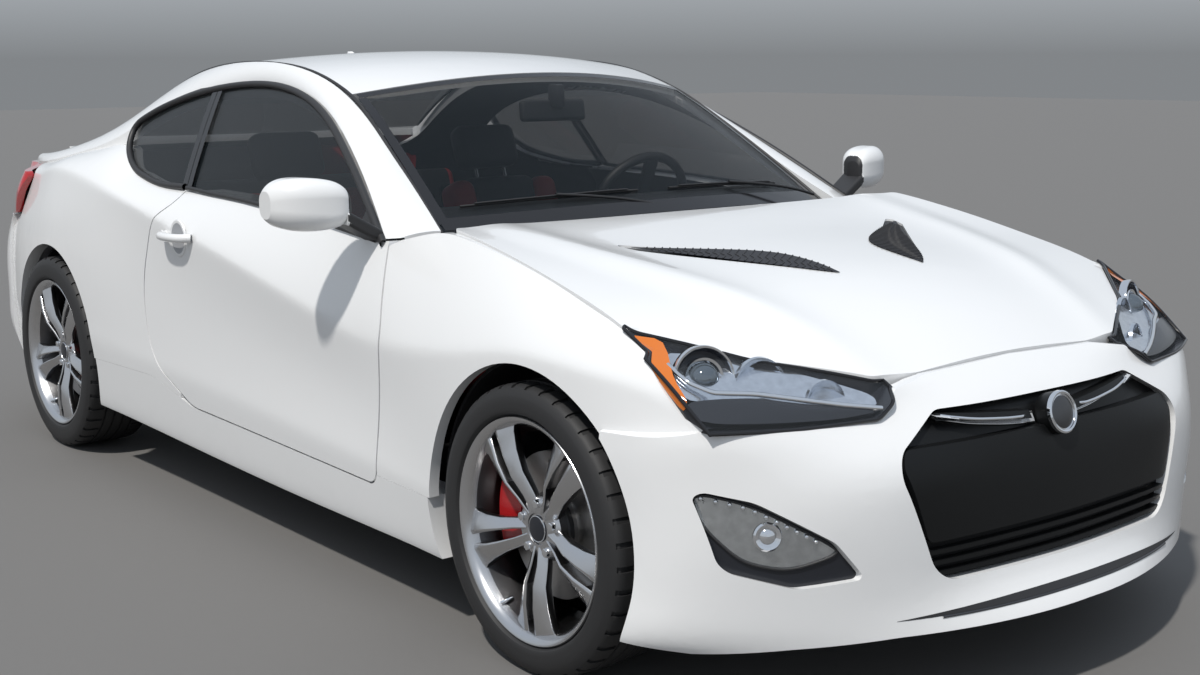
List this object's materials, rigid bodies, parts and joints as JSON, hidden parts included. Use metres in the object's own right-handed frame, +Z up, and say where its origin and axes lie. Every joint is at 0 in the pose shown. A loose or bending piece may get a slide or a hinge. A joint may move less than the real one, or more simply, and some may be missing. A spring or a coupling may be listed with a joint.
{
  "type": "coupe car",
  "caption": "Low two-door coupe with opening doors, hood and trunk lid, steered front wheels on split double-spoke rims, and a furnished cabin.",
  "frame": {"origin": "middle of the length and width on the ground, under the tyres", "axes": "+X forward, +Y to the left of the car, +Z up"},
  "size_m": [4.6244, 2.196, 1.384],
  "materials": {
    "paint_white": "gloss",
    "glass_clear": "polished",
    "glass_dark": "polished",
    "plastic_black": "matte",
    "lamp_clear": "polished",
    "lamp_red": "polished",
    "wheel_alloy": "satin",
    "tyre": "matte",
    "caliper_red": "gloss",
    "under_black": "matte",
    "iron": "matte",
    "steel_pipe": "satin",
    "leather_red": "satin",
    "leather_black": "satin"
  },
  "bodies": {
    "body": {"front_fenders": "paint_white", "rear_quarters": "paint_white", "side_skirts": "paint_white", "roof_rails": "paint_white", "roof_panel": "paint_white", "windshield": "glass_clear", "rear_window": "glass_dark", "quarter_windows": "glass_dark", "front_bumper": "paint_white", "fog_lamps": "plastic_black", "grille": "plastic_black", "headlamps": "lamp_clear", "rear_bumper": "paint_white", "tail_lamps": "lamp_red", "cowl_panel": "plastic_black", "wipers": "plastic_black", "antenna_fin": "paint_white", "rear_knuckles": "caliper_red", "underbody": "under_black", "front_wheelhouses": "under_black", "rear_wheelhouses": "under_black", "engine_block": "iron", "front_subframe": "iron", "rear_subframe": "iron", "exhaust": "steel_pipe", "front_seats": "leather_red", "rear_seat": "leather_red", "dashboard": "plastic_black"},
    "front_knuckle_left": {"front_knuckle_left": "caliper_red"},
    "front_knuckle_right": {"front_knuckle_right": "caliper_red"},
    "front_wheel_left": {"wheel_front_left": "wheel_alloy", "tyre_front_left": "tyre"},
    "front_wheel_right": {"wheel_front_right": "wheel_alloy", "tyre_front_right": "tyre"},
    "rear_wheel_left": {"wheel_rear_left": "wheel_alloy", "tyre_rear_left": "tyre"},
    "rear_wheel_right": {"wheel_rear_right": "wheel_alloy", "tyre_rear_right": "tyre"},
    "door_left": {"door_left": "paint_white", "door_glass_left": "glass_dark", "mirror_left": "paint_white"},
    "door_right": {"door_right": "paint_white", "door_glass_right": "glass_dark", "mirror_right": "paint_white"},
    "hood": {"hood": "paint_white", "hood_vents": "plastic_black"},
    "trunk_lid": {"trunk_lid": "paint_white"},
    "steering_wheel": {"steering_wheel": "leather_black"}
  },
  "joints": [
    {"name": "steering_left", "type": "hinge", "parent": "body", "child": "front_knuckle_left", "pos_m": [1.475, 0.775, 0.331], "axis": [0, 0, 1], "range_deg": [-34, 34]},
    {"name": "steering_right", "type": "hinge", "parent": "body", "child": "front_knuckle_right", "pos_m": [1.475, -0.775, 0.331], "axis": [0, 0, 1], "range_deg": [-34, 34]},
    {"name": "steering_wheel_turn", "type": "hinge", "parent": "body", "child": "steering_wheel", "pos_m": [0.305, 0.395, 0.88], "axis": [-0.9272, 0, 0.3746], "range_deg": [-442, 442]},
    {"name": "front_wheel_left_spin", "type": "hinge", "parent": "front_knuckle_left", "child": "front_wheel_left", "pos_m": [1.475, 0.8015, 0.331], "axis": [0, 1, 0], "continuous": true},
    {"name": "front_wheel_right_spin", "type": "hinge", "parent": "front_knuckle_right", "child": "front_wheel_right", "pos_m": [1.475, -0.8015, 0.331], "axis": [0, 1, 0], "continuous": true},
    {"name": "rear_wheel_left_spin", "type": "hinge", "parent": "body", "child": "rear_wheel_left", "pos_m": [-1.345, 0.806, 0.339], "axis": [0, 1, 0], "continuous": true},
    {"name": "rear_wheel_right_spin", "type": "hinge", "parent": "body", "child": "rear_wheel_right", "pos_m": [-1.345, -0.806, 0.339], "axis": [0, 1, 0], "continuous": true},
    {"name": "door_left_hinge", "type": "hinge", "parent": "body", "child": "door_left", "pos_m": [0.871, 0.906, 0.6], "axis": [0, 0, -1], "range_deg": [0, 65]},
    {"name": "door_right_hinge", "type": "hinge", "parent": "body", "child": "door_right", "pos_m": [0.871, -0.906, 0.6], "axis": [0, 0, 1], "range_deg": [0, 65]},
    {"name": "hood_hinge", "type": "hinge", "parent": "body", "child": "hood", "pos_m": [1.01, 0, 0.96], "axis": [0, -1, 0], "range_deg": [0, 50]},
    {"name": "trunk_lid_hinge", "type": "hinge", "parent": "body", "child": "trunk_lid", "pos_m": [-1.475, 0, 1.06], "axis": [0, 1, 0], "range_deg": [0, 75]}
  ],
  "couplings": [
    {"joint": "steering_right", "follows": "steering_left", "ratio": 1},
    {"joint": "steering_wheel_turn", "follows": "steering_left", "ratio": 13}
  ]
}
